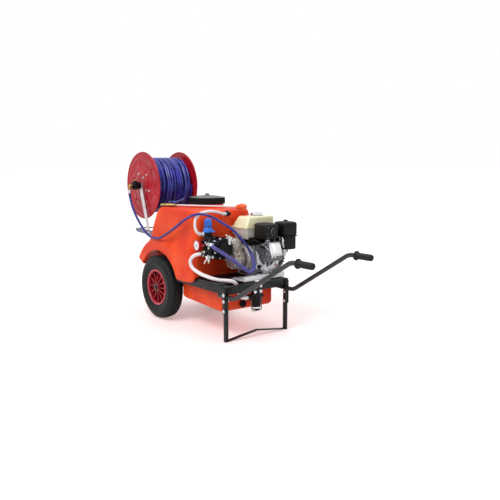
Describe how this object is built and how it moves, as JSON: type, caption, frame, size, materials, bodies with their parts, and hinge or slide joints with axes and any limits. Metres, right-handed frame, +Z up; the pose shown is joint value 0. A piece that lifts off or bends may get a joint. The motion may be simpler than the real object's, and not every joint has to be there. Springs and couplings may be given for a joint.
{
  "type": "wheeled spray and fire-fighting cart",
  "caption": "Wheeled cart with a moulded liquid tank, a wound hose reel, a petrol engine driving a diaphragm pump, push handles and a steel stand.",
  "frame": {"origin": "the middle of the footprint of the whole cart, on the floor", "axes": "+X along the cart towards the push handles, +Y towards the starter and crank side, +Z up"},
  "size_m": [1.929, 0.5985, 1.054],
  "materials": {
    "tank_plastic": "satin rotational moulding, fine orange peel",
    "frame_paint": "dark grey powder coat",
    "bare_steel": "zinc plated",
    "grip_rubber": "matt moulded rubber",
    "tyre_rubber": "matt tyre rubber",
    "rim_paint": "gloss red enamel",
    "reel_paint": "gloss dark red enamel",
    "carrier_paint": "light grey paint",
    "black_plastic": "matt moulded plastic",
    "black_enamel": "semi-gloss black enamel on castings",
    "blue_plastic": "gloss moulded plastic",
    "white_enamel": "gloss white enamel",
    "cream_enamel": "gloss cream enamel",
    "cast_aluminium": "as cast",
    "sheet_aluminium": "rolled sheet",
    "chrome_plate": "polished",
    "brass_metal": "machined",
    "orange_plastic": "gloss moulded plastic",
    "blue_hose": "smooth satin hose cover",
    "white_hose": "ribbed translucent hose"
  },
  "bodies": {
    "chassis": {"rail_left": "frame_paint", "handle_left": "frame_paint", "grip_left": "grip_rubber", "rail_right": "frame_paint", "handle_right": "frame_paint", "grip_right": "grip_rubber", "front_crossmember": "frame_paint", "axle_carrier": "frame_paint", "deck_plate": "frame_paint", "engine_plate": "sheet_aluminium", "stand": "frame_paint", "tank_body": "tank_plastic", "return_elbow": "black_plastic", "filter_head": "black_plastic", "reel_carrier": "carrier_paint", "swivel_body": "black_enamel", "swivel_elbow": "brass_metal", "gearbox": "cast_aluminium", "pump_body": "black_enamel", "gauge_case": "white_enamel", "engine_block": "cast_aluminium", "valve_cover": "white_enamel", "fuel_tank": "cream_enamel", "muffler": "black_enamel", "air_cleaner": "black_plastic", "recoil_cover": "white_enamel", "delivery_hose": "blue_hose", "suction_hose": "white_hose", "return_hose": "white_hose", "gun_hose": "blue_hose"},
    "wheel_left": {"tyre_left": "tyre_rubber", "rim_left": "rim_paint"},
    "wheel_right": {"tyre_right": "tyre_rubber", "rim_right": "rim_paint"},
    "reel": {"reel_flange_left": "reel_paint", "reel_flange_right": "reel_paint", "reel_drum": "reel_paint", "reel_shaft": "bare_steel", "reel_crank": "bare_steel", "hose_winding": "blue_hose"},
    "crank_knob": {"crank_knob": "black_plastic"},
    "lid": {"tank_lid": "black_plastic"},
    "vent_cap": {"lid_vent": "black_plastic"},
    "drain_plug": {"drain_plug": "black_plastic"},
    "filter_bowl": {"filter_bowl": "black_plastic"},
    "filter_bail": {"filter_bail": "bare_steel"},
    "regulator_knob": {"regulator_knob": "blue_plastic"},
    "gauge_needle": {"gauge_needle": "black_plastic"},
    "tap_lever_upper": {"tap_lever_upper": "chrome_plate"},
    "tap_lever_lower": {"tap_lever_lower": "chrome_plate"},
    "fuel_cap": {"fuel_cap": "chrome_plate"},
    "throttle_lever": {"throttle_lever": "bare_steel"},
    "choke_lever": {"choke_lever": "bare_steel"},
    "engine_switch": {"engine_switch": "black_plastic"},
    "oil_cap": {"oil_cap": "black_plastic"},
    "starter_grip": {"starter_grip": "black_plastic"},
    "air_cleaner_nut": {"air_cleaner_nut": "black_plastic"},
    "gun": {"gun_body": "brass_metal"},
    "gun_lever": {"gun_lever": "chrome_plate"},
    "gun_nozzle": {"gun_nozzle": "orange_plastic"}
  },
  "joints": [
    {"name": "wheel_left_roll", "type": "hinge", "parent": "chassis", "child": "wheel_left", "pos_m": [-0.4105, -0.24365, 0.2], "axis": [0, 1, 0], "continuous": true},
    {"name": "wheel_right_roll", "type": "hinge", "parent": "chassis", "child": "wheel_right", "pos_m": [-0.4105, 0.17235, 0.2], "axis": [0, 1, 0], "continuous": true},
    {"name": "reel_turn", "type": "hinge", "parent": "chassis", "child": "reel", "pos_m": [-0.7405, -0.03565, 0.83], "axis": [0, 1, 0], "continuous": true},
    {"name": "crank_knob_spin", "type": "hinge", "parent": "reel", "child": "crank_knob", "pos_m": [-0.7405, 0.19435, 0.692], "axis": [0, 1, 0], "continuous": true},
    {"name": "lid_lift", "type": "slide", "parent": "chassis", "child": "lid", "axis": [0, 0, 1], "range_m": [0, 0.12]},
    {"name": "vent_cap_turn", "type": "hinge", "parent": "lid", "child": "vent_cap", "pos_m": [-0.2825, 0.02635, 0.785], "axis": [0, 0, 1], "range_deg": [0, 90]},
    {"name": "drain_plug_turn", "type": "hinge", "parent": "chassis", "child": "drain_plug", "pos_m": [0.2295, -0.08165, 0.18], "axis": [1, 0, 0], "range_deg": [0, 360]},
    {"name": "filter_bowl_turn", "type": "hinge", "parent": "chassis", "child": "filter_bowl", "pos_m": [0.2915, -0.03565, 0.18], "axis": [0, 0, 1], "range_deg": [0, 90]},
    {"name": "filter_bail_swing", "type": "hinge", "parent": "chassis", "child": "filter_bail", "pos_m": [0.2915, -0.03565, 0.23], "axis": [0, -1, 0], "range_deg": [0, 70]},
    {"name": "regulator_turn", "type": "hinge", "parent": "chassis", "child": "regulator_knob", "pos_m": [0.0475, -0.19565, 0.64], "axis": [0, 0, 1], "range_deg": [-180, 180]},
    {"name": "gauge_needle_turn", "type": "hinge", "parent": "chassis", "child": "gauge_needle", "pos_m": [0.0265, -0.26365, 0.513], "axis": [0, 1, 0], "range_deg": [0, 270], "stiffness_Nm_per_rad": 0.002},
    {"name": "tap_upper_turn", "type": "hinge", "parent": "chassis", "child": "tap_lever_upper", "pos_m": [0.1935, -0.14165, 0.556], "axis": [1, 0, 0], "range_deg": [0, 90]},
    {"name": "tap_lower_turn", "type": "hinge", "parent": "chassis", "child": "tap_lever_lower", "pos_m": [0.1175, -0.25265, 0.45], "axis": [0, 1, 0], "range_deg": [0, 90]},
    {"name": "fuel_cap_turn", "type": "hinge", "parent": "chassis", "child": "fuel_cap", "pos_m": [0.0755, 0.14035, 0.676], "axis": [0, 0, 1], "range_deg": [0, 90]},
    {"name": "throttle_swing", "type": "hinge", "parent": "chassis", "child": "throttle_lever", "pos_m": [0.1735, 0.18935, 0.532], "axis": [0, 1, 0], "range_deg": [-15, 20]},
    {"name": "choke_swing", "type": "hinge", "parent": "chassis", "child": "choke_lever", "pos_m": [0.2415, 0.17135, 0.448], "axis": [1, 0, 0], "range_deg": [-45, 0]},
    {"name": "engine_switch_turn", "type": "hinge", "parent": "chassis", "child": "engine_switch", "pos_m": [0.2355, 0.15435, 0.384], "axis": [1, 0, 0], "range_deg": [-45, 0]},
    {"name": "oil_cap_turn", "type": "hinge", "parent": "chassis", "child": "oil_cap", "pos_m": [0.2355, 0.03235, 0.386], "axis": [1, 0, 0], "range_deg": [0, 360]},
    {"name": "starter_pull", "type": "slide", "parent": "chassis", "child": "starter_grip", "axis": [0, 1, 0], "range_m": [0, 0.45], "stiffness_N_per_m": 40},
    {"name": "air_cleaner_nut_turn", "type": "hinge", "parent": "chassis", "child": "air_cleaner_nut", "pos_m": [0.2565, 0.21585, 0.645], "axis": [0, 0, 1], "range_deg": [0, 360]},
    {"name": "gun_lift", "type": "slide", "parent": "chassis", "child": "gun", "axis": [0, 0, 1], "range_m": [0, 0.12]},
    {"name": "gun_lever_turn", "type": "hinge", "parent": "gun", "child": "gun_lever", "pos_m": [-0.37784, -0.19106, 0.738], "axis": [0, 0, 1], "range_deg": [-90, 0]},
    {"name": "gun_nozzle_turn", "type": "hinge", "parent": "gun", "child": "gun_nozzle", "pos_m": [0.01248, 0.06532, 0.7193], "axis": [0.8358, 0.549, 0], "range_deg": [0, 180]}
  ]
}
